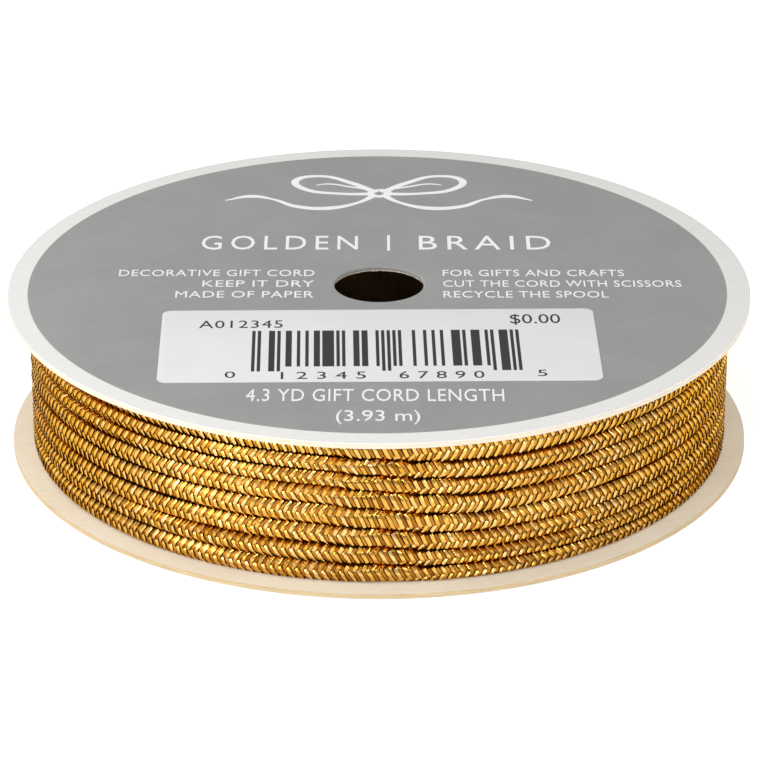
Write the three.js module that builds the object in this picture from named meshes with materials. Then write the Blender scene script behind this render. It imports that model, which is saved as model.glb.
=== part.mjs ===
// A gift ribbon spool: two round paperboard flanges on a wide core ring, wound with a round
// braided metallic cord. Millimetres, +Z up along the spool's axis, origin on that axis at the
// spool's lowest face.
import * as THREE from "three";

// Flanges: a paperboard disc each, faced with one sheet of paper.
const FLANGE_RADIUS = 44.45;
const BOARD_THICKNESS = 0.58;
const PAPER_THICKNESS = 0.12;
const SPINDLE_HOLE_RADIUS = 5.35;
const TURNED_EDGE_DEPTH = 0.42;
const TURNED_EDGE_RADIUS = 0.3;
const TURNED_EDGE_GAP = 0.04;
const ROUND_SIDES = 64;

// Winding: turns of cord side by side between the flanges.
const WINDING_WIDTH = 18.0;
const WINDING_RADIUS = 42.0;
const TURNS_ACROSS = 8;
const CORD_RADIUS = 1.1;
const WINDING_END_GAP = 0.02;
const TURN_ARC_STEPS = 5;
const TURN_EDGE_ANGLE = 1.25;

// Core ring, its glue beads and the patch that holds the first turn.
const CORE_RADIUS = 37.6;
const CORE_WALL = 2.0;
const GLUE_THICKNESS = 0.15;
const GLUE_INSET = 0.25;
const CORE_TO_WINDING = 0.2;
const START_TAPE = { height: 6, above: 0.5, start: 4.0, arc: 0.34, gap: 0.05, thickness: 0.08 };

// Price label on the upper face.
const LABEL = { width: 50.8, height: 20.3, corner: 1.1, thickness: 0.08, y: -18.1, turn: 0.014 };

// The free end of the cord: it lies in a groove of the last layer, behind the spool.
const TAIL_RADIUS = 1.05;
const TAIL_REST_GAP = 0.16;
const TAIL_START_ANGLE = 1.2;
const TAIL_ARC = 0.82;
const TAIL_STEPS = 16;
const TAIL_SIDES = 8;

// The clear tab over the end of the tail.
const END_TAPE = { width: 12, thickness: 0.06, arc: 0.34, past: 0.05, gap: 0.05, foot: 2.7, steps: 8 };

const TOP_SPACE = PAPER_THICKNESS + BOARD_THICKNESS + WINDING_WIDTH;
const TOP_FACE = TOP_SPACE + BOARD_THICKNESS + PAPER_THICKNESS;
const BOTTOM_SPACE = PAPER_THICKNESS + BOARD_THICKNESS;
const TURN_PITCH = WINDING_WIDTH / TURNS_ACROSS;
const OUTER_LAYER_RADIUS = WINDING_RADIUS - CORD_RADIUS;

const paper = { color: 0xe8e8e4, roughness: 0.55, metalness: 0 };
const board = { color: 0xe4d7bd, roughness: 0.85, metalness: 0 };
const labelPaper = { color: 0xeeeeeb, roughness: 0.5, metalness: 0 };
const glue = { color: 0xd9cda6, roughness: 0.4, metalness: 0 };
const gold = { color: 0xd9a441, roughness: 0.3, metalness: 0.9 };
const clearTape = { color: 0xe6e2d4, roughness: 0.15, metalness: 0 };

function named(name, geometry, look) {
  const mesh = new THREE.Mesh(geometry, new THREE.MeshStandardMaterial(look));
  mesh.name = name;
  return mesh;
}

// A ring turned about Z from a closed outline of [radius, height] points, given anticlockwise.
function turned(outline) {
  const closed = [...outline, outline[0]];
  const points = closed.map(([radius, height]) => new THREE.Vector2(radius, height));
  const geometry = new THREE.LatheGeometry(points, ROUND_SIDES);
  geometry.rotateX(Math.PI / 2);
  return geometry;
}

function flatRing(inner, outer, low, high) {
  return turned([[inner, low], [outer, low], [outer, high], [inner, high]]);
}

// The upper sheet is pressed down into the spindle hole with a rounded edge.
function topFacingOutline() {
  const under = TOP_FACE - PAPER_THICKNESS;
  const lipLow = TOP_FACE - TURNED_EDGE_DEPTH;
  const lipOuter = SPINDLE_HOLE_RADIUS + PAPER_THICKNESS;
  const outline = [[SPINDLE_HOLE_RADIUS, lipLow], [lipOuter, lipLow], [lipOuter, under]];
  outline.push([FLANGE_RADIUS, under], [FLANGE_RADIUS, TOP_FACE]);
  const steps = 4;
  for (let step = 0; step <= steps; step += 1) {
    const angle = Math.PI / 2 * (1 + step / steps);
    outline.push([
      SPINDLE_HOLE_RADIUS + TURNED_EDGE_RADIUS + TURNED_EDGE_RADIUS * Math.cos(angle),
      TOP_FACE - TURNED_EDGE_RADIUS + TURNED_EDGE_RADIUS * Math.sin(angle),
    ]);
  }
  return outline;
}

function labelShape() {
  const { width, height, corner } = LABEL;
  const right = width / 2;
  const top = height / 2;
  const shape = new THREE.Shape();
  shape.absarc(right - corner, -top + corner, corner, -Math.PI / 2, 0);
  shape.absarc(right - corner, top - corner, corner, 0, Math.PI / 2);
  shape.absarc(-right + corner, top - corner, corner, Math.PI / 2, Math.PI);
  shape.absarc(-right + corner, -top + corner, corner, Math.PI, Math.PI * 1.5);
  return shape;
}

function makeLabel() {
  const settings = { depth: LABEL.thickness, bevelEnabled: false, curveSegments: 4 };
  const mesh = named("price_label", new THREE.ExtrudeGeometry(labelShape(), settings), labelPaper);
  mesh.position.set(0, LABEL.y, TOP_FACE);
  mesh.rotation.z = LABEL.turn;
  return mesh;
}

// The wound turns as one ring: flat against the core, with one round rib for each turn outside.
function windingOutline() {
  const inner = CORE_RADIUS + CORE_TO_WINDING;
  const low = BOTTOM_SPACE + WINDING_END_GAP;
  const high = TOP_SPACE - WINDING_END_GAP;
  const outline = [[inner, low], [OUTER_LAYER_RADIUS, low]];
  for (let turn = 0; turn < TURNS_ACROSS; turn += 1) {
    const middle = BOTTOM_SPACE + (turn + 0.5) * TURN_PITCH;
    for (let step = 0; step < TURN_ARC_STEPS; step += 1) {
      const angle = TURN_EDGE_ANGLE * (2 * step / (TURN_ARC_STEPS - 1) - 1);
      outline.push([
        OUTER_LAYER_RADIUS + CORD_RADIUS * Math.cos(angle),
        middle + CORD_RADIUS * Math.sin(angle),
      ]);
    }
  }
  outline.push([OUTER_LAYER_RADIUS, high], [inner, high]);
  return outline;
}

// A level arc about the spool's axis.
class LevelArc extends THREE.Curve {
  constructor(radius, start, arc, height) {
    super();
    Object.assign(this, { radius, start, arc, height });
  }

  getPoint(share, target = new THREE.Vector3()) {
    const angle = this.start + this.arc * share;
    return target.set(this.radius * Math.cos(angle), this.radius * Math.sin(angle), this.height);
  }
}

// The groove nearest the middle of the width, and how far out a cord lies when it rests in it.
const tailHeight = BOTTOM_SPACE + TURN_PITCH * TURNS_ACROSS / 2;
const tailReach = CORD_RADIUS + TAIL_RADIUS + TAIL_REST_GAP;
const tailRadius = OUTER_LAYER_RADIUS + Math.sqrt(tailReach ** 2 - (TURN_PITCH / 2) ** 2);

function makeTail() {
  const section = new THREE.Shape();
  section.absarc(0, 0, TAIL_RADIUS, 0, Math.PI * 2);
  const path = new LevelArc(tailRadius, TAIL_START_ANGLE, TAIL_ARC, tailHeight);
  const settings = { steps: TAIL_STEPS, extrudePath: path, curveSegments: TAIL_SIDES / 2 };
  return named("ribbon_tail", new THREE.ExtrudeGeometry(section, settings), gold);
}

// Half of the tab's outline seen along the tail, from the crown over the cord to the flat foot,
// as [across, radius] points at a given clearance from the cord.
function tabHalfOutline(clearance) {
  const hoop = TAIL_RADIUS + clearance;
  const foot = WINDING_RADIUS + clearance;
  const outline = [];
  const bends = 3;
  for (let step = 0; step <= bends; step += 1) {
    const angle = Math.PI / 2 * (1 - step / (bends + 1));
    outline.push([hoop * Math.cos(angle), tailRadius + hoop * Math.sin(angle)]);
  }
  outline.push([END_TAPE.foot, foot], [END_TAPE.width / 2, foot]);
  return outline;
}

function tabShape() {
  const inside = tabHalfOutline(END_TAPE.gap);
  const outside = tabHalfOutline(END_TAPE.gap + END_TAPE.thickness);
  const mirrored = (points) => points.slice(1).map(([across, radius]) => [-across, radius]);
  const upper = [...outside.slice().reverse(), ...mirrored(outside)];
  const lower = [...mirrored(inside).reverse(), ...inside];
  return [...upper, ...lower];
}

// The tab follows the winding's curve: its outline is swept about the axis and capped.
function makeEndTape() {
  const outline = tabShape();
  const count = outline.length;
  const start = TAIL_START_ANGLE + TAIL_ARC + END_TAPE.past - END_TAPE.arc;
  const positions = [];
  for (let step = 0; step <= END_TAPE.steps; step += 1) {
    const angle = start + END_TAPE.arc * step / END_TAPE.steps;
    for (const [across, radius] of outline) {
      positions.push(radius * Math.cos(angle), radius * Math.sin(angle), tailHeight + across);
    }
  }
  const faces = [];
  for (let step = 0; step < END_TAPE.steps; step += 1) {
    for (let index = 0; index < count; index += 1) {
      const here = step * count + index;
      const next = step * count + (index + 1) % count;
      faces.push(here, next, next + count, here, next + count, here + count);
    }
  }
  const flat = outline.map(([across, radius]) => new THREE.Vector2(across, radius));
  const last = END_TAPE.steps * count;
  for (const [a, b, c] of THREE.ShapeUtils.triangulateShape(flat, [])) {
    faces.push(a, c, b, last + a, last + b, last + c);
  }
  const geometry = new THREE.BufferGeometry();
  geometry.setAttribute("position", new THREE.Float32BufferAttribute(positions, 3));
  geometry.setIndex(faces);
  geometry.computeVertexNormals();
  return named("end_tape", geometry, clearTape);
}

function makeStartTape() {
  const { height, above, start, arc, gap, thickness } = START_TAPE;
  const patch = new THREE.Shape();
  const inner = CORE_RADIUS + gap;
  patch.absarc(0, 0, inner + thickness, 0, arc);
  patch.absarc(0, 0, inner, arc, 0, true);
  const settings = { depth: height, bevelEnabled: false, curveSegments: 6 };
  const mesh = named("start_tape", new THREE.ExtrudeGeometry(patch, settings), clearTape);
  mesh.position.z = BOTTOM_SPACE + above;
  mesh.rotation.z = start;
  return mesh;
}

function makeFlanges() {
  const holeInBoard = SPINDLE_HOLE_RADIUS + PAPER_THICKNESS + TURNED_EDGE_GAP;
  const disc = (hole, low, high) => flatRing(hole, FLANGE_RADIUS, low, high);
  const flanges = new THREE.Group();
  flanges.add(
    named("bottom_facing", disc(SPINDLE_HOLE_RADIUS, 0, PAPER_THICKNESS), paper),
    named("bottom_board", disc(SPINDLE_HOLE_RADIUS, PAPER_THICKNESS, BOTTOM_SPACE), board),
    named("top_board", disc(holeInBoard, TOP_SPACE, TOP_FACE - PAPER_THICKNESS), board),
    named("top_facing", turned(topFacingOutline()), paper),
  );
  return flanges;
}

function makeCore() {
  const inner = CORE_RADIUS - CORE_WALL;
  const low = BOTTOM_SPACE + GLUE_THICKNESS;
  const high = TOP_SPACE - GLUE_THICKNESS;
  const bead = (from, to) => flatRing(inner + GLUE_INSET, CORE_RADIUS - GLUE_INSET, from, to);
  const core = new THREE.Group();
  core.add(
    named("core_tube", flatRing(inner, CORE_RADIUS, low, high), board),
    named("bottom_glue_ring", bead(BOTTOM_SPACE, low), glue),
    named("top_glue_ring", bead(high, TOP_SPACE), glue),
    makeStartTape(),
  );
  return core;
}

const spool = new THREE.Group();
spool.add(makeFlanges(), makeCore(), makeLabel());
spool.add(named("ribbon", turned(windingOutline()), gold), makeTail(), makeEndTape());

export default spool;
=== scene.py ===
import math

import bpy
import numpy as np
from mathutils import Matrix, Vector


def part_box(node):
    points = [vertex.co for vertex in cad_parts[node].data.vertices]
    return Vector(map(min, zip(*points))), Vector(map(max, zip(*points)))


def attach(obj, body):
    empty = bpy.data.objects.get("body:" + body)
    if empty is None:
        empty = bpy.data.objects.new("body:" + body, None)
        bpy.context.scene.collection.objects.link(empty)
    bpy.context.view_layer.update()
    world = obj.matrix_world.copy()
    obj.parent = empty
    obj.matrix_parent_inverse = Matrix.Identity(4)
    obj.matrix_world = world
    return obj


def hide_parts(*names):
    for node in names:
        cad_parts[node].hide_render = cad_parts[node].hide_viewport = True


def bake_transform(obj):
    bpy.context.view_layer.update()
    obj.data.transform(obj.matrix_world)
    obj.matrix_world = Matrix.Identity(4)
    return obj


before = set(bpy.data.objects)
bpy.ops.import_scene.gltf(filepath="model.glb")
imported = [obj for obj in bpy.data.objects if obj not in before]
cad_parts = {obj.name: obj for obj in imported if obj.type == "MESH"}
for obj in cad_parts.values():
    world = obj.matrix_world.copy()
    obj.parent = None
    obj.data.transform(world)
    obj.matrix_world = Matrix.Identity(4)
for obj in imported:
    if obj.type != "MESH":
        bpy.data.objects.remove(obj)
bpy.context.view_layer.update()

# ---------------------------------------------------------------- sizes, in metres
MM = 0.001
TOP_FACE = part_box("top_facing")[1].z
TOP_SHEET = TOP_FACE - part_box("top_board")[1].z
FLANGE_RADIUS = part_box("top_facing")[1].x
BOARD_LOW, BOARD_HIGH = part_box("top_board")[0].z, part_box("top_board")[1].z
LIP_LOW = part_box("top_facing")[0].z
BASE_LOW, BASE_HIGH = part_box("bottom_board")[0].z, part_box("bottom_board")[1].z
CORE_LOW, CORE_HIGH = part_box("core_tube")[0].z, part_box("core_tube")[1].z
CORE_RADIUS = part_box("core_tube")[1].x
LABEL_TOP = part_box("price_label")[1].z
WINDING_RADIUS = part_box("ribbon")[1].x
HOLE_RADIUS = 5.35 * MM
BOARD_HOLE_RADIUS = 5.51 * MM
LIP_RADIUS = 0.3 * MM
LIP_STEPS = 5
FACING_THICKNESS = 0.96 * TOP_SHEET
BOARD_RADIUS = FLANGE_RADIUS - 0.01 * MM
BOARD_EDGE = 0.05 * MM
FRAY_REACH = 0.3 * MM
CORE_WALL = 2 * MM
GLUE_INSET = 0.25 * MM
LABEL_SIZE = (50.8 * MM, 20.3 * MM)
LABEL_CORNER = 1.1 * MM
LABEL_Y = -18.1 * MM
LABEL_TURN = 0.014
LABEL_THICKNESS = 0.08 * MM
INK = 0.012 * MM
ROUND_SIDES = 288

CORD_RADIUS = 1.1 * MM
TURNS_ACROSS = 8

rng = np.random.default_rng(7)


# ---------------------------------------------------------------- shader trees
class Channel:
    """An output socket of a shader tree that takes part in Python arithmetic."""

    def __init__(self, paint, socket):
        self.paint, self.socket = paint, socket

    def math(self, operation, first, second):
        return self.paint.node("ShaderNodeMath", {"operation": operation}, {0: first, 1: second})

    def __add__(self, other):
        return self.math("ADD", self, other)

    def __radd__(self, other):
        return self.math("ADD", other, self)

    def __mul__(self, other):
        return self.math("MULTIPLY", self, other)


class Paint:
    """A material with one Principled shader and short ways to feed it."""

    def __init__(self, name, **constants):
        self.material = bpy.data.materials.new(name)
        self.material.use_nodes = True
        self.tree = self.material.node_tree
        self.shader = self.tree.nodes["Principled BSDF"]
        self.feed(**constants)

    def node(self, kind, settings=None, inputs=None, output=0):
        made = self.tree.nodes.new(kind)
        for key, value in (settings or {}).items():
            if key == "stops":
                self.set_stops(made.color_ramp, value)
            else:
                setattr(made, key, value)
        for key, value in (inputs or {}).items():
            self.plug(made.inputs[key], value)
        return Channel(self, made.outputs[output])

    @staticmethod
    def set_stops(ramp, stops):
        while len(ramp.elements) < len(stops):
            ramp.elements.new(0.5)
        for element, (place, colour) in zip(ramp.elements, stops):
            element.position, element.color = place, rgba(colour)

    def plug(self, socket, value):
        if isinstance(value, Channel):
            self.tree.links.new(value.socket, socket)
        else:
            socket.default_value = value

    def feed(self, **values):
        for key, value in values.items():
            self.plug(self.shader.inputs[key.replace("_", " ").title().replace("Ior", "IOR")], value)

    def place(self):
        return self.node("ShaderNodeTexCoord", output="Object")

    def height(self):
        return self.node("ShaderNodeSeparateXYZ", inputs={0: self.place()}, output="Z")

    def noise(self, grain, detail=2.0, place=None, roughness=0.5):
        """Noise whose features are about one grain (metres) across."""
        inputs = {"Vector": place or self.place(), "Scale": 1 / grain, "Detail": detail}
        return self.node("ShaderNodeTexNoise", {}, {**inputs, "Roughness": roughness})

    def stretched(self, factors):
        return self.node("ShaderNodeMapping", {}, {"Vector": self.place(), "Scale": factors})

    def ramp(self, value, stops):
        return self.node("ShaderNodeValToRGB", {"stops": stops}, {0: value})

    def blend(self, share, first, second):
        settings = {"data_type": "RGBA"}
        return self.node("ShaderNodeMix", settings, {0: share, 6: first, 7: second}, output=2)

    def bump(self, height, distance, strength=1.0):
        inputs = {"Height": height, "Distance": distance, "Strength": strength}
        self.feed(normal=self.node("ShaderNodeBump", {}, inputs))

    def fade(self, value, low, high):
        """0 where value is under low, 1 where it is over high."""
        settings = {"clamp": True}
        inputs = {"Value": value, "From Min": low, "From Max": high}
        return self.node("ShaderNodeMapRange", settings, inputs)

    def tone(self):
        return self.node("ShaderNodeAttribute", {"attribute_name": "tone"}, output="Fac")


def linear(shade):
    share = shade / 255
    return share / 12.92 if share <= 0.04045 else ((share + 0.055) / 1.055) ** 2.4


def rgba(colour):
    """A colour given as 0-255 display values."""
    return (*(linear(shade) for shade in colour), 1.0)


def radius_from(paint, x=0.0):
    """Distance from an upright line through x, for discs printed or cut round it."""
    centre, level = (x, 0, 0), (1, 1, 0)
    centred = paint.node("ShaderNodeVectorMath", {"operation": "SUBTRACT"}, {0: paint.place(), 1: centre})
    flat = paint.node("ShaderNodeVectorMath", {"operation": "MULTIPLY"}, {0: centred, 1: level})
    return paint.node("ShaderNodeVectorMath", {"operation": "LENGTH"}, {0: flat}, output="Value")


# ---------------------------------------------------------------- materials
PRINT_CENTRE_X = -0.2 * MM
PRINT_RADIUS = 41.87 * MM
GREY_STOPS = [(0.3, (141, 142, 141)), (0.5, (151, 152, 150)), (0.7, (161, 162, 160))]
PAPER_STOPS = [(0.25, (222, 221, 217)), (0.75, (240, 239, 236))]
LABEL_STOPS = [(0.25, (224, 225, 223)), (0.75, (236, 237, 235))]
BOARD_STOPS = [(0.25, (224, 211, 188)), (0.5, (234, 225, 206)), (0.8, (240, 234, 220))]
CUT_STOPS = [(0.25, (176, 150, 110)), (0.5, (200, 178, 140)), (0.8, (218, 200, 168))]
# The upper board's paler cut edge is painted light, where more light falls on it.
LIT_CUT_STOPS = [(0.25, (212, 194, 166)), (0.5, (226, 214, 194)), (0.8, (236, 228, 214))]
CORE_STOPS = [(0.2, (132, 108, 78)), (0.8, (172, 148, 112))]
GLUE_STOPS = [(0.2, (196, 176, 124)), (0.8, (226, 212, 170))]
BRIGHT_STOPS = [(0.2, (212, 158, 60)), (0.5, (232, 184, 90)), (0.8, (246, 208, 138))]
# The amber strips are a darker copy of the gold film: painted shade on the recessed strands beside the
# bright ones.
AMBER_SHADE_STOPS = [(0.2, (146, 86, 22)), (0.5, (178, 114, 38)), (0.8, (208, 148, 60))]
GRAZING_GOLD = (244, 212, 160)
BRIGHT_ROUGHNESS, AMBER_ROUGHNESS = 0.1, 0.26
# The heart's dark colour is painted shade for the gaps between the strips.
HEART_SHADE_STOPS = [(0.2, (38, 12, 6)), (0.8, (74, 26, 8))]
FILM_STOPS = [(0.2, (226, 222, 208)), (0.8, (244, 242, 234))]
WHITE_INK_STOPS = [(0.2, (236, 237, 236)), (0.8, (250, 250, 249))]
BLACK_INK_STOPS = [(0.2, (26, 26, 28)), (0.8, (46, 46, 48))]
WHITE_INK_ROUGHNESS, BLACK_INK_ROUGHNESS = 0.45, 0.4
FLOOR_STOPS = [(0, (250, 250, 250)), (1, (255, 255, 255))]
FLOOR_GLOW = 0.4


def printed_paper():
    """White coated sheet with a grey printed disc that stops short of the edge."""
    paint = Paint("printed_paper", specular_ior_level=0.35)
    reach = radius_from(paint, x=PRINT_CENTRE_X)
    ragged = paint.noise(0.4 * MM, 3) * (0.05 * MM)
    rim = paint.fade(reach + ragged, PRINT_RADIUS - 0.02 * MM, PRINT_RADIUS + 0.06 * MM)
    fibre = paint.noise(0.35 * MM, 4, paint.stretched((0.35, 1.6, 1)), 0.65)
    cloud = paint.noise(9 * MM, 3)
    speck = paint.noise(0.12 * MM, 2)
    grey = paint.ramp(fibre * 0.45 + cloud * 0.35 + speck * 0.2, GREY_STOPS)
    white = paint.ramp(fibre * 0.6 + speck * 0.4, PAPER_STOPS)
    paint.feed(base_color=paint.blend(rim, grey, white))
    paint.feed(roughness=0.46 + rim * 0.08 + speck * 0.1)
    paint.bump(fibre * 0.6 + speck * 0.4, 0.004 * MM)
    return paint.material


def plain_paper():
    paint = Paint("plain_paper", specular_ior_level=0.3)
    fibre = paint.noise(0.3 * MM, 5, paint.stretched((1, 0.3, 1)), 0.7)
    cloud = paint.noise(6 * MM, 2)
    paint.feed(base_color=paint.ramp(fibre * 0.6 + cloud * 0.4, PAPER_STOPS))
    paint.feed(roughness=0.62 + fibre * 0.2)
    paint.bump(fibre, 0.006 * MM)
    return paint.material


def paperboard():
    """Cream board: fibres on its faces, darker plies along its cut edge, and a paler cut edge in the upper
    board that is painted light.
    """
    paint = Paint("paperboard", specular_ior_level=0.2)
    fibre = paint.noise(0.4 * MM, 5, paint.stretched((0.25, 1, 1)), 0.7)
    ply = paint.noise(0.09 * MM, 3, paint.stretched((0.03, 0.03, 1)))
    cloud = paint.noise(12 * MM, 2)
    face = paint.ramp(fibre * 0.6 + cloud * 0.4, BOARD_STOPS)
    upper_board_lit = paint.fade(paint.height(), BASE_HIGH, BOARD_LOW)
    plies = fibre * 0.3 + ply * 0.7
    # The upper board's cut edge is painted paler as the light that falls on it.
    cut = paint.blend(upper_board_lit, paint.ramp(plies, CUT_STOPS), paint.ramp(plies, LIT_CUT_STOPS))
    edge = paint.fade(radius_from(paint), FLANGE_RADIUS - 0.06 * MM, FLANGE_RADIUS - 0.02 * MM)
    paint.feed(base_color=paint.blend(edge, face, cut))
    paint.feed(roughness=0.75 + fibre * 0.2)
    paint.bump(fibre * 0.5 + ply * 0.5, 0.012 * MM)
    return paint.material


def core_board():
    """Wound brown board: a seam of its strip climbs round the tube."""
    paint = Paint("core_board", specular_ior_level=0.15)
    fibre = paint.noise(0.5 * MM, 5, paint.stretched((1, 1, 0.3)), 0.7)
    seam = paint.node("ShaderNodeTexWave", {"wave_type": "BANDS", "bands_direction": "DIAGONAL"},
                      {"Vector": paint.place(), "Scale": 60.0, "Distortion": 1.5})
    paint.feed(base_color=paint.ramp(fibre * 0.7 + seam * 0.3, CORE_STOPS))
    paint.feed(roughness=0.8 + fibre * 0.15)
    paint.bump(fibre + seam * 0.4, 0.03 * MM)
    return paint.material


def label_paper():
    paint = Paint("label_paper", specular_ior_level=0.4)
    fibre = paint.noise(0.25 * MM, 4, None, 0.6)
    cloud = paint.noise(7 * MM, 2)
    paint.feed(base_color=paint.ramp(fibre * 0.6 + cloud * 0.4, LABEL_STOPS))
    paint.feed(roughness=0.42 + fibre * 0.15)
    paint.bump(fibre, 0.003 * MM)
    return paint.material


def ink(name, stops, roughness):
    paint = Paint(name, specular_ior_level=0.3)
    speck = paint.noise(0.09 * MM, 3, None, 0.6)
    paint.feed(base_color=paint.ramp(speck, stops))
    paint.feed(roughness=roughness + speck * 0.15)
    paint.bump(speck, 0.002 * MM)
    return paint.material


def glue():
    paint = Paint("glue", specular_ior_level=0.5)
    lumps = paint.noise(1.2 * MM, 3)
    paint.feed(base_color=paint.ramp(lumps, GLUE_STOPS))
    paint.feed(roughness=0.3 + lumps * 0.25)
    paint.bump(lumps, 0.1 * MM)
    return paint.material


def metal_strip(name, stops, roughness):
    """Slit metallised film: each strip has its own tone, with a fine drawn grain."""
    paint = Paint(name, metallic=1.0, specular_tint=rgba(GRAZING_GOLD))
    grain = paint.noise(0.16 * MM, 3, None, 0.6)
    wander = paint.noise(5 * MM, 2)
    mixed = paint.tone() * 0.62 + grain * 0.16 + wander * 0.22
    paint.feed(base_color=paint.ramp(mixed, stops))
    paint.feed(roughness=roughness + paint.tone() * 0.1 + grain * 0.08)
    paint.bump(grain, 0.003 * MM)
    return paint.material


def cord_heart_painted_shade():
    """The yarn at the cord's middle that shows between the strips; its dark colour is painted shade for
    the gaps of the braid.
    """
    paint = Paint("cord_heart_painted_shade", specular_ior_level=0.3)
    yarn = paint.noise(0.2 * MM, 4, None, 0.7)
    paint.feed(base_color=paint.ramp(yarn, HEART_SHADE_STOPS))
    paint.feed(roughness=0.55 + yarn * 0.25)
    paint.bump(yarn, 0.08 * MM)
    return paint.material


def clear_film():
    paint = Paint("clear_film", specular_ior_level=0.5)
    haze = paint.noise(2.5 * MM, 4, None, 0.6)
    paint.feed(base_color=paint.ramp(haze, FILM_STOPS))
    paint.feed(roughness=0.08 + haze * 0.18, alpha=0.05 + haze * 0.1)
    paint.bump(haze, 0.03 * MM)
    return paint.material


def floor_paper():
    paint = Paint("floor_paper", specular_ior_level=0.1)
    paint.feed(base_color=paint.ramp(paint.noise(50 * MM, 2), FLOOR_STOPS))
    paint.feed(roughness=0.9 + paint.noise(10 * MM) * 0.05)
    paint.feed(emission_color=(1, 1, 1, 1), emission_strength=FLOOR_GLOW)
    return paint.material


# ---------------------------------------------------------------- modelling by hand
def deselect():
    bpy.ops.object.select_all(action="DESELECT")


def edit(piece, mode="VERT"):
    deselect()
    piece.select_set(True)
    bpy.context.view_layer.objects.active = piece
    bpy.ops.object.mode_set(mode="EDIT")
    bpy.ops.mesh.select_mode(type=mode)


def leave_edit():
    bpy.ops.object.mode_set(mode="OBJECT")


def named(piece, name):
    piece.name = piece.data.name = name
    return piece


def settle(piece):
    """Puts the object's place and turn into its mesh."""
    deselect()
    piece.select_set(True)
    bpy.context.view_layer.objects.active = piece
    bpy.ops.object.transform_apply(location=True, rotation=True, scale=True)
    return piece


def modify(piece, kind, **settings):
    """Adds a modifier, sets it and applies it."""
    deselect()
    piece.select_set(True)
    bpy.context.view_layer.objects.active = piece
    made = piece.modifiers.new(kind.title(), kind)
    for key, value in settings.items():
        setattr(made, key, value)
    bpy.ops.object.modifier_apply(modifier=made.name)
    return piece


def round_edges(piece, width, segments=2):
    return modify(piece, "BEVEL", width=width, segments=segments, limit_method="ANGLE",
                  angle_limit=math.radians(40))


def smooth(piece, angle=30):
    deselect()
    piece.select_set(True)
    bpy.context.view_layer.objects.active = piece
    bpy.ops.object.shade_smooth_by_angle(angle=math.radians(angle))
    return piece


def dress(piece, material, body, slot, *nodes):
    """Gives a finished piece its material and body, and hides the CAD nodes it stands for; a piece on both
    bodies has its place put into its mesh instead of a body. The slot is not used.
    """
    for finish in material if isinstance(material, list) else [material]:
        piece.data.materials.append(finish)
    if body == BENT:
        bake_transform(piece)
    else:
        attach(piece, body)
    if nodes:
        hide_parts(*nodes)
    return piece


def new_disc(name, radius, height):
    deselect()
    bpy.ops.mesh.primitive_circle_add(vertices=ROUND_SIDES, radius=radius, fill_type="NGON",
                                      location=(0, 0, height))
    return settle(named(bpy.context.active_object, name))


def ring_plate(name, hole, radius, low, high, edge, bands=1):
    """A flat ring: a disc, inset down to its hole, thickened upwards and rounded at its edges."""
    piece = new_disc(name, radius, low)
    edit(piece, "FACE")
    bpy.ops.mesh.select_all(action="SELECT")
    for _ in range(bands):
        bpy.ops.mesh.inset(thickness=(radius - hole) / bands)
    bpy.ops.mesh.delete(type="FACE")
    leave_edit()
    modify(piece, "SOLIDIFY", thickness=high - low, offset=1.0, use_even_offset=True)
    return round_edges(piece, edge)


def fray(piece, reach, amount, seed):
    """Roughens what lies within a reach of the axis, as a punched board edge is."""
    edit(piece)
    bpy.ops.mesh.select_all(action="DESELECT")
    leave_edit()
    for vertex in piece.data.vertices:
        vertex.select = math.hypot(vertex.co.x, vertex.co.y) < reach
    edit(piece)
    bpy.ops.transform.vertex_random(offset=amount, seed=seed)
    leave_edit()
    return piece


def grown_chain(name, points):
    """A chain of edges through the points, extruded one after another from a single vertex."""
    deselect()
    bpy.ops.mesh.primitive_circle_add(vertices=3, radius=MM)
    piece = named(bpy.context.active_object, name)
    edit(piece)
    bpy.ops.mesh.select_all(action="SELECT")
    bpy.ops.mesh.merge(type="CENTER")
    bpy.ops.transform.translate(value=points[0])
    for before, after in zip(points, points[1:]):
        step = Vector(after) - Vector(before)
        bpy.ops.mesh.extrude_region_move(TRANSFORM_OT_translate={"value": step})
    leave_edit()
    return piece


def spun_sheet(name, outline, start, arc, steps):
    """A sheet turned about the spool's axis from an outline of (radius, height) points."""
    points = [(r * math.cos(start), r * math.sin(start), z) for r, z in outline]
    piece = grown_chain(name, points)
    edit(piece)
    bpy.ops.mesh.select_all(action="SELECT")
    bpy.ops.mesh.spin(steps=steps, angle=-arc, center=(0, 0, 0), axis=(0, 0, 1))
    bpy.ops.mesh.select_all(action="SELECT")
    bpy.ops.mesh.remove_doubles(threshold=0.002 * MM)
    bpy.ops.mesh.normals_make_consistent(inside=False)
    leave_edit()
    return piece


# ---------------------------------------------------------------- flanges
def make_top_facing(material):
    """The printed sheet: its middle is pressed down into the spindle hole in a round lip."""
    piece = new_disc("top_facing_sheet", FLANGE_RADIUS, TOP_FACE)
    flat_reach = HOLE_RADIUS + LIP_RADIUS
    edit(piece, "FACE")
    bpy.ops.mesh.select_all(action="SELECT")
    bpy.ops.mesh.inset(thickness=FLANGE_RADIUS - flat_reach)
    bends = [math.pi / 2 * step / LIP_STEPS for step in range(LIP_STEPS + 1)]
    for before, after in zip(bends, bends[1:]):
        bpy.ops.mesh.inset(thickness=LIP_RADIUS * (math.sin(after) - math.sin(before)),
                           depth=-LIP_RADIUS * (math.cos(before) - math.cos(after)))
    rest = TOP_FACE - LIP_RADIUS - LIP_LOW
    bpy.ops.mesh.extrude_region_move(TRANSFORM_OT_translate={"value": (0, 0, -rest)})
    bpy.ops.mesh.delete(type="FACE")
    leave_edit()
    modify(piece, "SOLIDIFY", thickness=FACING_THICKNESS, offset=-1.0, use_even_offset=True)
    round_edges(piece, 0.025 * MM)
    return dress(smooth(piece), material, "spool", "printed_paper", "top_facing")


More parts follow.
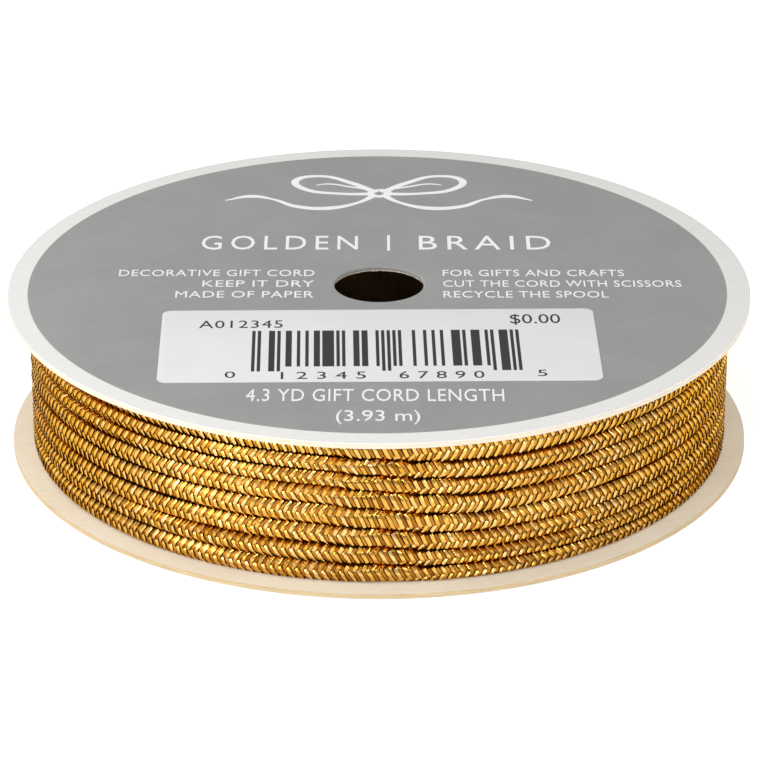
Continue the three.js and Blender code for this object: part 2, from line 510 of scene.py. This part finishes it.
def make_boards(material):
    for node, hole, low, high, roughened, seed in (
            ("top_board", BOARD_HOLE_RADIUS, BOARD_LOW, BOARD_HIGH, 0.07 * MM, 3),
            ("bottom_board", HOLE_RADIUS, BASE_LOW, BASE_HIGH, 0.05 * MM, 4)):
        piece = ring_plate(f"{node}_disc", hole, BOARD_RADIUS, low, high, BOARD_EDGE, bands=3)
        fray(piece, hole + FRAY_REACH, roughened, seed)
        dress(smooth(piece), material, "spool", "paperboard", node)


def make_bottom_facing(material):
    piece = ring_plate("bottom_facing_sheet", HOLE_RADIUS, FLANGE_RADIUS, 0, BASE_LOW, 0.02 * MM)
    dress(smooth(piece), material, "spool", "plain_paper", "bottom_facing")


def make_core(board, bead):
    inner = CORE_RADIUS - CORE_WALL
    tube = ring_plate("core_tube_ring", inner, CORE_RADIUS, CORE_LOW, CORE_HIGH, 0.15 * MM)
    dress(smooth(tube), board, "spool", "paperboard", "core_tube")
    bead_inner, bead_outer = inner + GLUE_INSET, CORE_RADIUS - GLUE_INSET
    for side, low, high in (("bottom", BASE_HIGH, CORE_LOW), ("top", CORE_HIGH, BOARD_LOW)):
        ring = ring_plate(f"{side}_glue_bead", bead_inner, bead_outer, low, high, 0.06 * MM)
        dress(smooth(ring), bead, "spool", "glue", f"{side}_glue_ring")


# ---------------------------------------------------------------- label and print
def make_label(material):
    """A sheet of the label's size with round corners and softened edges."""
    deselect()
    place, turn = (0, LABEL_Y, TOP_FACE), (0, 0, LABEL_TURN)
    bpy.ops.mesh.primitive_plane_add(size=1, location=place, rotation=turn)
    piece = named(bpy.context.active_object, "price_label_sheet")
    piece.scale = (*LABEL_SIZE, 1)
    settle(piece)
    edit(piece)
    bpy.ops.mesh.select_all(action="SELECT")
    bpy.ops.mesh.bevel(offset=LABEL_CORNER, segments=8, affect="VERTICES")
    leave_edit()
    modify(piece, "SOLIDIFY", thickness=LABEL_THICKNESS, offset=1.0)
    round_edges(piece, 0.015 * MM)
    return dress(smooth(piece), material, "spool", "label_paper", "price_label")


def word_mesh(words, spacing=1.0):
    deselect()
    bpy.ops.object.text_add()
    piece = bpy.context.active_object
    piece.data.body = words
    piece.data.size = 1.0
    piece.data.extrude = INK / 2
    piece.data.resolution_u = 3
    piece.data.space_character = spacing
    bpy.ops.object.convert(target="MESH")
    return bpy.context.active_object


def reach_of(piece):
    corners = [Vector(corner) for corner in piece.bound_box]
    return [(min(c[i] for c in corners), max(c[i] for c in corners)) for i in range(3)]


def capital_height():
    """How high the font's capitals are at size 1."""
    capital = word_mesh("H")
    height = reach_of(capital)[1][1]
    bpy.data.objects.remove(capital)
    return height


CAPITAL_HEIGHT = capital_height()


def line_of_print(level, words, left, right, base, capitals, spacing):
    """One printed line, fitted between two sides with its capitals standing on a base line."""
    piece = word_mesh(words, spacing)
    (low, high), _, _ = reach_of(piece)
    across = (right - left) / (high - low)
    piece.scale = (across * MM, capitals / CAPITAL_HEIGHT * MM, 1)
    piece.location = ((left - low * across) * MM, base * MM, level + INK / 2)
    return settle(piece)


def joined(name, pieces):
    deselect()
    for piece in pieces:
        piece.select_set(True)
    bpy.context.view_layer.objects.active = pieces[0]
    bpy.ops.object.join()
    return named(bpy.context.active_object, name)


# Words, left and right side, base line and height of the capitals in millimetres, letter spacing.
FACING_LINES = [
    ("GOLDEN", -21.8, -2.6, 10.6, 4.3, 1.35),
    ("BRAID", 4.9, 21.1, 10.6, 4.3, 1.35),
    ("DECORATIVE GIFT CORD", -31.4, -7.8, 2.3, 1.9, 1.05),
    ("KEEP IT DRY", -21.2, -7.8, -0.95, 1.9, 1.05),
    ("MADE OF PAPER", -24.3, -7.8, -4.2, 1.9, 1.05),
    ("FOR GIFTS AND CRAFTS", 7.7, 29.6, 2.3, 1.9, 1.05),
    ("CUT THE CORD WITH SCISSORS", 7.7, 36.3, -0.95, 1.9, 1.05),
    ("RECYCLE THE SPOOL", 7.7, 27.4, -4.2, 1.9, 1.05),
    ("4.3 YD GIFT CORD LENGTH", -15.0, 14.1, -33.4, 3.2, 1.05),
    ("(3.93 m)", -4.8, 4.6, -38.6, 2.75, 1.0),
    ("I", 1.0, 1.35, 10.2, 4.9, 1.0),
]
LABEL_LINES = [
    ("A012345", -21.0, -11.2, -13.1, 2.1, 1.1),
    ("$0.00", 15.5, 21.4, -12.2, 2.6, 1.0),
    ("0", -17.7, -16.5, -27.1, 1.7, 1.0),
    ("12345", -11.3, -1.6, -27.5, 1.9, 1.6),
    ("67890", 2.2, 11.9, -27.5, 1.9, 1.6),
    ("5", 18.0, 19.1, -27.1, 1.7, 1.0),
]
BAR_DIGITS = "012345678905"
BAR_CODES = ("0001101", "0011001", "0010011", "0111101", "0100011",
             "0110001", "0101111", "0111011", "0110111", "0001011")
DIGIT_MODULES = 7
BAR_LEFT, BAR_RIGHT = -14.7, 16.3
BAR_TOP, BAR_FOOT, GUARD_FOOT = -14.0, -24.1, -25.4
BAR_SPREAD = 0.03


def bar_modules():
    """The code's modules from left to right, with whether each belongs to a long guard bar."""
    opposite = {"0": "1", "1": "0"}
    left = "".join(BAR_CODES[int(digit)] for digit in BAR_DIGITS[:6])
    right = "".join(opposite[bit] for digit in BAR_DIGITS[6:] for bit in BAR_CODES[int(digit)])
    last_digit = len(right) - DIGIT_MODULES
    modules = [(bit, True) for bit in "101"]
    modules += [(bit, place < DIGIT_MODULES) for place, bit in enumerate(left)]
    modules += [(bit, True) for bit in "01010"]
    modules += [(bit, place >= last_digit) for place, bit in enumerate(right)]
    return modules + [(bit, True) for bit in "101"]


def make_bar(left, right, foot):
    deselect()
    middle = ((left + right) / 2 * MM, (BAR_TOP + foot) / 2 * MM, LABEL_TOP)
    bpy.ops.mesh.primitive_plane_add(size=1, location=middle)
    piece = bpy.context.active_object
    piece.scale = ((right - left) * MM, (BAR_TOP - foot) * MM, 1)
    settle(piece)
    return modify(piece, "SOLIDIFY", thickness=INK, offset=1.0)


def make_bars():
    modules = bar_modules()
    width = (BAR_RIGHT - BAR_LEFT) / len(modules)
    bars, start = [], None
    for place, (bit, guard) in enumerate([*modules, ("0", False)]):
        if bit == "1" and start is None:
            start = place
        if bit == "0" and start is not None:
            foot = GUARD_FOOT if modules[start][1] else BAR_FOOT
            left, right = BAR_LEFT + start * width, BAR_LEFT + place * width
            bars.append(make_bar(left - BAR_SPREAD, right + BAR_SPREAD, foot))
            start = None
    return bars


def turn_with_label(piece):
    edit(piece)
    bpy.ops.mesh.select_all(action="SELECT")
    bpy.ops.transform.rotate(value=-LABEL_TURN, orient_axis="Z", center_override=(0, LABEL_Y, 0))
    leave_edit()
    return piece


# Points of each brush stroke of the bow's right half: x, y and half width in millimetres.
BOW_STROKES = [
    ([(0.4, 29.3, 0.5), (3.6, 32.6, 0.45), (7.6, 34.9, 0.35), (10.6, 33.4, 0.5), (9.4, 30.4, 0.45),
      (5.0, 28.9, 0.35), (0.6, 28.8, 0.5)]),
    ([(0.4, 28.6, 0.5), (2.6, 25.9, 0.3), (6.4, 24.0, 0.55), (10.4, 24.6, 0.45), (13.4, 27.0, 0.25),
      (16.2, 28.0, 0.5), (19.4, 26.6, 0.12)]),
    ([(1.2, 30.4, 0.3), (3.6, 31.2, 0.22), (6.4, 32.2, 0.2), (8.0, 31.8, 0.12)]),
]
KNOT = [(-0.9, 29.9, 0.35), (0.9, 29.9, 0.35), (1.1, 28.4, 0.35), (-1.1, 28.4, 0.35), (-0.9, 29.9, 0.35)]


def brush_stroke(points):
    """A flat painted stroke: a round-ended tube along a smooth curve, pressed flat."""
    deselect()
    bpy.ops.curve.primitive_bezier_curve_add()
    piece = bpy.context.active_object
    spline = piece.data.splines[0]
    spline.bezier_points.add(len(points) - len(spline.bezier_points))
    for knot, (x, y, width) in zip(spline.bezier_points, points):
        knot.co = (x, y, 0)
        knot.handle_left_type = knot.handle_right_type = "AUTO"
        knot.radius = width
    piece.data.dimensions = "3D"
    piece.data.bevel_depth = 1.0
    piece.data.bevel_resolution = 1
    piece.data.resolution_u = 8
    piece.data.use_fill_caps = True
    bpy.ops.object.convert(target="MESH")
    piece = bpy.context.active_object
    piece.scale = (MM, MM, INK)
    piece.location = (0, 0, TOP_FACE)
    return settle(piece)


def make_print(white, black):
    lines = [line_of_print(TOP_FACE, *line) for line in FACING_LINES]
    mirrored = [[(-x, y, width) for x, y, width in stroke] for stroke in BOW_STROKES]
    strokes = [brush_stroke(stroke) for stroke in [*BOW_STROKES, *mirrored, KNOT]]
    dress(joined("white_print", lines), white, "spool", "printed_paper")
    dress(smooth(joined("bow_print", strokes)), white, "spool", "printed_paper")
    words = [line_of_print(LABEL_TOP, *line) for line in LABEL_LINES]
    dress(turn_with_label(joined("label_print", words)), black, "spool", "label_paper")
    dress(turn_with_label(joined("label_bars", make_bars())), black, "spool", "label_paper")


# ---------------------------------------------------------------- the cord's route
# The cord is followed by the angle it has gone round the spool, in degrees, from its first turn.
# Its inner layer climbs from the bottom flange to the top one, and its outer layer comes down again.
# Each outer turn drops by half its height twice a turn, and rolls a quarter round as it does.
# The tail's place and arc are in radians, as in the solid model.
INNER_RADIUS = CORE_RADIUS + 1.15 * MM
OUTER_RADIUS = WINDING_RADIUS - CORD_RADIUS
JOG_START, JOG_ARC = 120, 50
ROUTE_START = 235
CLIMB = 3000
FIRST_FRONT_DROP, FIRST_BACK_DROP = 3153, 3390
DROP_ARC, ROLL_ARC = 30, 24
CROSSING = 5765
TAIL_PLACE, TAIL_ARC = 1.2, 0.82
TAIL_ROOT = 360 * 2 * TURNS_ACROSS + math.degrees(TAIL_PLACE)
TAIL_END = TAIL_ROOT + math.degrees(TAIL_ARC)
STEP = 0.5
SMOOTHED_STEPS = 9
OUTER_BRAID, LEAD_IN = CLIMB + 25, 35
UNDER_BRAID = (345, 535)
TAIL_HEIGHT = BASE_HIGH + 9 * MM
BENT = ("spool", "free_end")
TAIL_REACH = 2.31 * MM
EVEN_TURN = 2.25 * MM
# Heights of the outer turns in millimetres, from the lowest up, before and after the front drop.
TURNS_BEFORE_DROP = (2.42, 2.28, 2.35, 2.55, 2.28, 1.88, 1.88, 2.36)
TURNS_AFTER_DROP = (1.75, 1.88, 2.14, 2.28, 2.42, 2.08, 2.14, 2.4)
PACKED_SQUARENESS, FREE_SQUARENESS = 4.4, 2.3
# Degrees about the spool between which the outer turns lie even, at the back under the tail.
EVEN_FROM, EVEN_TO, EVEN_ARC = 22, 120, 50
# The slow waves in a turn's height: millimetres, waves in a turn, shift from level to level, start.
SWAYS = ((0.04, 3, 0.4, 0), (0.03, 7, -0.5, 1), (0.025, 13, 0.9, 2))


def eased(share):
    share = np.clip(share, 0, 1)
    return share * share * (3 - 2 * share)


def jogs_passed(angle):
    """How many turns the inner layer has stepped, smooth through each step."""
    passed = (angle - 360 - JOG_START) / 360
    whole = np.floor(passed)
    return np.maximum(whole + eased((passed - whole) * 360 / JOG_ARC), 0)


def drops_passed(angle, arc):
    """How many half-turn drops the outer layer has made, smooth through each."""
    passed = np.zeros_like(angle)
    for turn in range(TURNS_ACROSS):
        for first in (FIRST_FRONT_DROP, FIRST_BACK_DROP):
            middle = first + 360 * turn
            passed = passed + eased((angle - middle) / arc + 0.5)
    return passed


def stacked():
    """Levels, middles and heights of outer turns: 0 is the lowest turn, -0.5 that turn dropped."""
    rows = []
    for heights, offset in ((TURNS_BEFORE_DROP, 0), (TURNS_AFTER_DROP, -0.5)):
        edges = np.concatenate([[0], np.cumsum(heights)])
        middles = (edges[:-1] + edges[1:]) / 2
        rows += [(turn + offset, middles[turn], heights[turn]) for turn in range(TURNS_ACROSS)]
    return np.array(sorted(rows)).T


def even_height(level):
    return BASE_HIGH + EVEN_TURN * (level + 0.5)


def outer_height(level, angle):
    """Height of an outer turn: uneven at the front, as wound, and even at the back under the tail."""
    levels, middles, _ = stacked()
    front = BASE_HIGH + np.interp(level, levels, middles) * MM
    about = angle % 360
    before = eased((EVEN_FROM - about) / EVEN_ARC + 0.5)
    after = eased((about - EVEN_TO) / EVEN_ARC)
    to_front = np.where(about < EVEN_TO, before, after)
    return front * to_front + even_height(level + 0.5) * (1 - to_front)


def sway(angle, level):
    """A slow wander that neighbouring turns share, less at the flanges."""
    turn = np.radians(angle)
    wave = sum(high * np.sin(waves * turn + shift * level + start) for high, waves, shift, start in SWAYS)
    return wave * MM * np.sin(np.pi * np.clip(level + 0.5, 0, TURNS_ACROSS) / TURNS_ACROSS)


def over_turns(height):
    """How far out a cord lies that crosses the even turns of the outer layer at a height."""
    off = np.min(np.abs(height[:, None] - even_height(np.arange(1, TURNS_ACROSS))[None, :]), axis=1)
    resting = OUTER_RADIUS + np.sqrt(np.maximum(TAIL_REACH**2 - off**2, 0))
    return np.where(off < TAIL_REACH, resting, OUTER_RADIUS)


def smoothed(values, width):
    kernel = np.hanning(width + 2)[1:-1]
    padded = np.pad(values, width // 2, mode="edge")
    return np.convolve(padded, kernel / kernel.sum(), mode="valid")[:len(values)]


class Route:
    """The cord's centreline with its outward and upward directions, by length along it."""

    def __init__(self):
        self.angle = np.arange(ROUTE_START, TAIL_END + STEP / 2, STEP)
        self.crossed = eased((self.angle - CROSSING) / (TAIL_ROOT - CROSSING))
        self.wind()
        self.aim()
        self.press()

    def wind(self):
        """The centreline: up in the inner layer, down in the outer one, then over its turns."""
        angle = self.angle
        inner_level = np.minimum(jogs_passed(angle), TURNS_ACROSS - 1)
        outer_level = TURNS_ACROSS - 1 - drops_passed(angle, DROP_ARC) / 2
        climbed = eased((angle - CLIMB) / JOG_ARC)
        inner, outer = even_height(inner_level), outer_height(outer_level, angle)
        height = np.where(angle < CLIMB, inner, inner * (1 - climbed) + outer * climbed)
        self.level = np.where(angle < CLIMB, inner_level, outer_level)
        height = height + sway(angle, self.level)
        height = height + (TAIL_HEIGHT - height) * self.crossed
        radius = INNER_RADIUS + (OUTER_RADIUS - INNER_RADIUS) * climbed
        radius = np.where(angle > CROSSING, np.maximum(radius, over_turns(height)), radius)
        radius = smoothed(radius, SMOOTHED_STEPS)
        turn = np.radians(angle)
        self.points = np.stack([radius * np.cos(turn), radius * np.sin(turn), height], axis=1)
        steps = np.linalg.norm(np.diff(self.points, axis=0), axis=1)
        self.along = np.concatenate([[0], np.cumsum(steps)])

    def aim(self):
        """The directions square to the cord: out from the spool, and up."""
        heading = np.gradient(self.points, axis=0)
        heading /= np.linalg.norm(heading, axis=1, keepdims=True)
        turn = np.radians(self.angle)
        out = np.stack([np.cos(turn), np.sin(turn), np.zeros_like(turn)], axis=1)
        out -= heading * np.sum(out * heading, axis=1, keepdims=True)
        self.out = out / np.linalg.norm(out, axis=1, keepdims=True)
        self.up = np.cross(self.out, heading)

    def press(self):
        """How tall and how square the cord is, as its neighbours press it; its end is free."""
        levels, _, heights = stacked()
        outer = np.interp(self.level, levels, heights)
        tall = np.where(self.angle < CLIMB, EVEN_TURN / MM, outer)
        tall = tall * MM / (2 * CORD_RADIUS)
        self.tall = tall + (1 - tall) * self.crossed
        self.squareness = PACKED_SQUARENESS + (FREE_SQUARENESS - PACKED_SQUARENESS) * self.crossed

    def at_angle(self, angle):
        return float(np.interp(angle, self.angle, self.along))

    def sample(self, table, along):
        columns = [np.interp(along, self.along, table[:, axis]) for axis in range(3)]
        return np.stack(columns, axis=-1)

    def surface(self, along, around, height):
        """Points on the cord at angles around it, in radians from straight out towards up."""
        tall = np.interp(along, self.along, self.tall)
        squareness = np.interp(along, self.along, self.squareness)
        corner = np.abs(np.cos(around)) ** squareness + np.abs(np.sin(around)) ** squareness
        height = height * corner ** (-1 / squareness)
        out = self.sample(self.out, along) * (height * np.cos(around))[..., None]
        up = self.sample(self.up, along) * (height * tall * np.sin(around))[..., None]
        return self.sample(self.points, along) + out + up


# ---------------------------------------------------------------- the braid
HEART_RADIUS = 0.86 * MM
HEART_SIDES = 12
HEART_STEP = 3 * MM
TAIL_HEART_STEP = 0.5 * MM
FLOAT_PITCH = 0.98 * MM
FLOAT_SLOPE = math.radians(60)
TUCK = 0.15 * MM
STATIONS = np.array([-1, -0.8, -0.3, 0.3, 0.8, 1])
HIDDEN_BEYOND = math.radians(122)
# The amber strips sit lower than the bright ones, and their darker colour is painted shade.
STRIPS = {
    "bright": {"width": 0.4 * MM, "rise": -0.02 * MM, "crown": 0.03 * MM, "shift": 0.0},
    "amber": {"width": 0.32 * MM, "rise": -0.09 * MM, "crown": 0.02 * MM, "shift": 0.5},
}
STRIP_DIP = 0.24 * MM
STRIP_DEPTH = 0.1 * MM
# How much one strip differs from the next.
SLOPE_SPREAD, WIDTH_SPREAD, TILT_SPREAD, RISE_SPREAD = 0.02, 0.05, 0.045, 0.012 * MM
TONE_MIDDLE, TONE_SPREAD = 0.5, 0.2
# Degrees that the first column faces before and after a drop, and how that grows from turn to turn.
FACED_BEFORE, FACED_BEFORE_GROWS = -53, 2.8
FACED_AFTER, FACED_AFTER_GROWS = 50, 2
# Degrees that the braid is rolled back by where the front meets the sides.
FRONT = 270
ROLLED_BACK, ROLLED_BACK_AT, ROLLED_BACK_ARC = 20, 65, 70
WANDER = 3


def braid_turn(route, along):
    """Which way the braid's first column faces, in radians: it rolls a quarter round at each drop,
    and back a little at both sides of the front."""
    angle = np.interp(along, route.along, route.angle)
    drops = drops_passed(angle, ROLL_ARC)
    places = np.arange(2 * TURNS_ACROSS + 1)
    level = TURNS_ACROSS - 1 - places / 2
    before = FACED_BEFORE + FACED_BEFORE_GROWS * (TURNS_ACROSS - 1 - level) + 90 * places
    after = FACED_AFTER + FACED_AFTER_GROWS * (level + 0.5) + 90 * (places - 1)
    faced = np.interp(drops, places, np.where(places % 2 == 0, before, after))
    wander = WANDER * np.sin(np.radians(angle * 3.1)) + WANDER * np.sin(np.radians(angle * 1.37 + 40))
    from_front = np.abs((angle - FRONT + 180) % 360 - 180)
    from_side = np.clip(np.abs(from_front - ROLLED_BACK_AT) / ROLLED_BACK_ARC, 0, 1)
    rolled_back = ROLLED_BACK * (1 + np.cos(np.pi * from_side)) / 2
    return np.radians(faced + wander - rolled_back)


def float_places(route, first, last, column, whole):
    """The middles of one column's floats, left out where the winding hides them."""
    numbers = np.arange(math.ceil(first / FLOAT_PITCH), math.ceil(last / FLOAT_PITCH))
    along = (numbers + 0.5 * (column % 2)) * FLOAT_PITCH
    around = braid_turn(route, along) + column * math.pi / 2
    around = (around + math.pi) % (2 * math.pi) - math.pi
    seen = np.ones(len(along), bool) if whole else np.abs(around) < HIDDEN_BEYOND
    return along[seen], around[seen]


def strip_points(route, along, around, column, strip):
    """Four lines of points for each strip: its two sides, its crown and its underside."""
    lean = -1 if column % 2 == 0 else 1
    count = len(along)
    reach = CORD_RADIUS * math.pi / 4 + TUCK
    slope = FLOAT_SLOPE + rng.normal(0, SLOPE_SPREAD, count)[:, None, None]
    across = np.array([-0.5, 0, 0.5, 0])[None, None, :] * strip["width"]
    across = across * rng.normal(1, WIDTH_SPREAD, count)[:, None, None]
    arc = (STATIONS * reach)[None, :, None]
    tilt = rng.normal(0, TILT_SPREAD, count)[:, None, None]
    rise = rng.normal(strip["rise"], RISE_SPREAD, count)[:, None, None]
    profile = np.array([0, strip["crown"], 0, -STRIP_DEPTH])[None, None, :]
    dip = STRIP_DIP * np.abs(STATIONS)[None, :, None] ** 4
    height = CORD_RADIUS + rise + profile - dip + across * tilt
    middle = along[:, None, None] + strip["shift"] * FLOAT_PITCH
    place = middle + lean * arc / np.tan(slope) + across * np.sin(slope)
    turn = around[:, None, None] + (arc - lean * across * np.cos(slope)) / CORD_RADIUS
    return route.surface(place, turn, height)


def strip_faces(count, stations):
    """Quads along each strip's four sides and one at each end."""
    faces = []
    for station in range(stations - 1):
        for side in range(4):
            here, beside = station * 4 + side, station * 4 + (side + 1) % 4
            faces.append((here, here + 4, beside + 4, beside))
    last = (stations - 1) * 4
    faces.append((0, 1, 2, 3))
    faces.append((last + 3, last + 2, last + 1, last))
    block = np.array(faces)
    starts = np.arange(count)[:, None, None] * stations * 4
    return (block[None, :, :] + starts).reshape(-1, 4)


def mesh_from(name, points, faces, kinds, tones):
    mesh = bpy.data.meshes.new(name)
    mesh.from_pydata(points.tolist(), [], faces.tolist())
    mesh.polygons.foreach_set("material_index", kinds)
    mesh.attributes.new("tone", "FLOAT", "POINT").data.foreach_set("value", tones)
    mesh.update()
    piece = bpy.data.objects.new(name, mesh)
    bpy.context.scene.collection.objects.link(piece)
    return piece


def braided_stretch(name, route, first_angle, last_angle, whole=False):
    """All strips of a stretch of the cord as one piece: bright ones and the amber ones beside them, whose
    darker colour is painted shade.
    """
    first, last = route.at_angle(first_angle), route.at_angle(last_angle)
    points, faces, kinds, tones = [], [], [], []
    total = 0
    for column in range(4):
        along, around = float_places(route, first, last, column, whole)
        for kind, strip in enumerate(STRIPS.values()):
            made = strip_points(route, along, around, column, strip)
            count = len(along)
            per_strip = len(STATIONS) * 4
            order = strip_faces(count, len(STATIONS))
            points.append(made.reshape(-1, 3))
            faces.append((order if column % 2 else order[:, ::-1]) + total)
            kinds.append(np.full(len(order), kind))
            tone = np.clip(rng.normal(TONE_MIDDLE, TONE_SPREAD, count), 0, 1)
            tones.append(np.repeat(tone, per_strip))
            total += count * per_strip
    points, faces = np.concatenate(points), np.concatenate(faces)
    return mesh_from(name, points, faces, np.concatenate(kinds), np.concatenate(tones))


def heart_tube(name, route, first_angle, last_angle, step):
    """The closed dark tube inside the braid, and the ring centres that it follows."""
    first, last = route.at_angle(first_angle), route.at_angle(last_angle)
    rings = max(2, round((last - first) / step) + 1)
    along = np.linspace(first, last, rings)
    around = np.linspace(0, 2 * np.pi, HEART_SIDES, endpoint=False)
    grid = route.surface(along[:, None] + 0 * around, 0 * along[:, None] + around,
                         np.full((rings, HEART_SIDES), HEART_RADIUS))
    faces = []
    for ring in range(rings - 1):
        for side in range(HEART_SIDES):
            here, beside = ring * HEART_SIDES + side, ring * HEART_SIDES + (side + 1) % HEART_SIDES
            faces.append((here, here + HEART_SIDES, beside + HEART_SIDES, beside))
    start_cap = list(range(HEART_SIDES))
    end_cap = [(rings - 1) * HEART_SIDES + side for side in reversed(range(HEART_SIDES))]
    mesh = bpy.data.meshes.new(name)
    mesh.from_pydata(grid.reshape(-1, 3).tolist(), [], [*faces, start_cap, end_cap])
    mesh.update()
    piece = bpy.data.objects.new(name, mesh)
    bpy.context.scene.collection.objects.link(piece)
    return piece, route.sample(route.points, along)


def make_cord(heart, strips):
    route = Route()
    tube, centres = heart_tube("cord_heart_painted_shade", route, ROUTE_START, TAIL_ROOT, HEART_STEP)
    dress(smooth(tube, 60), heart, "spool", "gold_cord", "ribbon")
    turns = []
    for turn in range(TURNS_ACROSS):
        start = OUTER_BRAID + 360 * turn
        end = min(start + 360, CROSSING)
        start = start - LEAD_IN if turn == 0 else start
        turns.append(braided_stretch(f"cord_turn_{turn + 1}", route, start, end))
    turns.append(braided_stretch("cord_under_turn", route, *UNDER_BRAID))
    turns.append(braided_stretch("cord_crossing", route, CROSSING, TAIL_ROOT, whole=True))
    for piece in turns:
        dress(smooth(piece, 45), strips, "spool", "gold_cord")
    tail_heart, _ = heart_tube("cord_tail_heart_painted_shade", route, TAIL_ROOT, TAIL_END, TAIL_HEART_STEP)
    dress(smooth(tail_heart, 60), heart, BENT, "gold_cord", "ribbon_tail")
    tail = braided_stretch("cord_tail", route, TAIL_ROOT, TAIL_END, whole=True)
    dress(smooth(tail, 45), strips, BENT, "gold_cord")


# ---------------------------------------------------------------- tapes
START_TAPE_PLACE = 4.0
TAPE_ARC = 0.34
START_TAPE_GAP = 0.05 * MM
END_TAPE_GAP = 0.06 * MM
TAPE_PAST_END = 0.05
TAPE_FILM = 0.05 * MM
PATCH_FILM = 0.06 * MM
HOOP_GAP = 0.03 * MM
HOOP_STEPS = 6
# The end tape's foot from its edge inwards: its distance from the tail's middle and its rise.
FOOT_STEPS = ((6 * MM, 0), (3.4 * MM, 0), (2.2 * MM, 0.12 * MM))


def make_start_tape(film):
    low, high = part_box("start_tape")[0].z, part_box("start_tape")[1].z
    radius = CORE_RADIUS + START_TAPE_GAP
    piece = spun_sheet("start_tape_patch", [(radius, low), (radius, high)], START_TAPE_PLACE, TAPE_ARC, 12)
    modify(piece, "SOLIDIFY", thickness=PATCH_FILM, offset=1.0)
    dress(smooth(piece), film, "spool", "clear_tape", "start_tape")


def make_end_tape(film):
    """The clear tab: flat feet on the winding and a hoop over the tail, spun along the tail."""
    crest = float(over_turns(np.array([TAIL_HEIGHT]))[0])
    hoop = CORD_RADIUS + HOOP_GAP
    foot = WINDING_RADIUS + END_TAPE_GAP
    half = [(foot + rise, across) for across, rise in FOOT_STEPS]
    for step in range(1, HOOP_STEPS + 1):
        bend = math.pi / 2 * step / HOOP_STEPS
        half.append((crest + hoop * math.sin(bend), hoop * math.cos(bend)))
    outline = [(radius, TAIL_HEIGHT - across) for radius, across in half]
    outline += [(radius, TAIL_HEIGHT + across) for radius, across in reversed(half[:-1])]
    start = TAIL_PLACE + TAIL_ARC + TAPE_PAST_END - TAPE_ARC
    piece = spun_sheet("end_tape_tab", outline, start, TAPE_ARC, 16)
    modify(piece, "SOLIDIFY", thickness=TAPE_FILM, offset=1.0)
    dress(smooth(piece, 40), film, "free_end", "clear_tape", "end_tape")


# ---------------------------------------------------------------- light, floor, camera
FLOOR_SIZE = 6
FLOOR_GAP = 0.02 * MM
WORLD_LIGHT = 0.55
# Each light's place, width and height in metres, and watts.
LIGHTS = {
    "front_strip": ((-0.05, -0.58, 0.5), 0.9, 0.03, 1.9),
    "key_left": ((-0.65, -0.05, 0.6), 0.35, 0.25, 1.3),
    "fill_right": ((0.7, -0.15, 0.5), 0.16, 0.3, 0.6),
    "side_left": ((-0.75, -0.45, 0.12), 0.5, 0.4, 2.7),
    "side_right": ((0.6, -0.65, 0.1), 0.3, 0.3, 0.9),
    "back_left": ((-0.6, 0.7, 0.15), 0.6, 0.6, 2.4),
    "back_right": ((0.6, 0.7, 0.15), 0.5, 0.5, 1.0),
}
CAMERA_LENS, CAMERA_SENSOR = 185.2, 36
CAMERA_PLACE = (0, -0.4304, 0.2043)
CAMERA_DOWN = 24.65


def make_floor():
    deselect()
    below = (0, 0, -FLOOR_GAP)
    bpy.ops.mesh.primitive_grid_add(x_subdivisions=4, y_subdivisions=4, size=FLOOR_SIZE, location=below)
    floor = settle(named(bpy.context.active_object, "floor"))
    floor.data.materials.append(floor_paper())


def make_light(name, place, width, height, watts):
    """A flat light that faces the spool's middle."""
    data = bpy.data.lights.new(name, "AREA")
    data.shape, data.size, data.size_y, data.energy = "RECTANGLE", width, height, watts
    light = bpy.data.objects.new(name, data)
    light.location = place
    towards = Vector((0, 0, TOP_FACE / 2)) - Vector(place)
    light.rotation_euler = towards.to_track_quat("-Z", "Y").to_euler()
    bpy.context.scene.collection.objects.link(light)


def make_lights():
    world = bpy.data.worlds.new("studio")
    world.use_nodes = True
    background = world.node_tree.nodes["Background"]
    background.inputs["Color"].default_value = (1, 1, 1, 1)
    background.inputs["Strength"].default_value = WORLD_LIGHT
    bpy.context.scene.world = world
    for name, light in LIGHTS.items():
        make_light(name, *light)


def make_camera():
    data = bpy.data.cameras.new("camera")
    data.lens, data.sensor_width = CAMERA_LENS, CAMERA_SENSOR
    data.clip_start, data.clip_end = 0.01, 20
    camera = bpy.data.objects.new("camera", data)
    camera.location = CAMERA_PLACE
    camera.rotation_euler = (math.radians(90 - CAMERA_DOWN), 0, 0)
    bpy.context.scene.collection.objects.link(camera)
    bpy.context.scene.camera = camera


make_camera()
make_lights()
make_floor()
bpy.context.scene.view_settings.view_transform = "Standard"

# The cord's heart is coloured dark as painted shade in the braid's gaps.
heart = cord_heart_painted_shade()
# The amber strips are the gold film darkened as painted shade.
strips = [metal_strip("gold_strip", BRIGHT_STOPS, BRIGHT_ROUGHNESS),
          metal_strip("amber_strip_painted_shade", AMBER_SHADE_STOPS, AMBER_ROUGHNESS)]
make_cord(heart, strips)

board = paperboard()
make_top_facing(printed_paper())
make_boards(board)
make_bottom_facing(plain_paper())
make_core(core_board(), glue())
make_label(label_paper())

white_ink = ink("white_ink", WHITE_INK_STOPS, WHITE_INK_ROUGHNESS)
black_ink = ink("black_ink", BLACK_INK_STOPS, BLACK_INK_ROUGHNESS)
make_print(white_ink, black_ink)

film = clear_film()
make_start_tape(film)
make_end_tape(film)
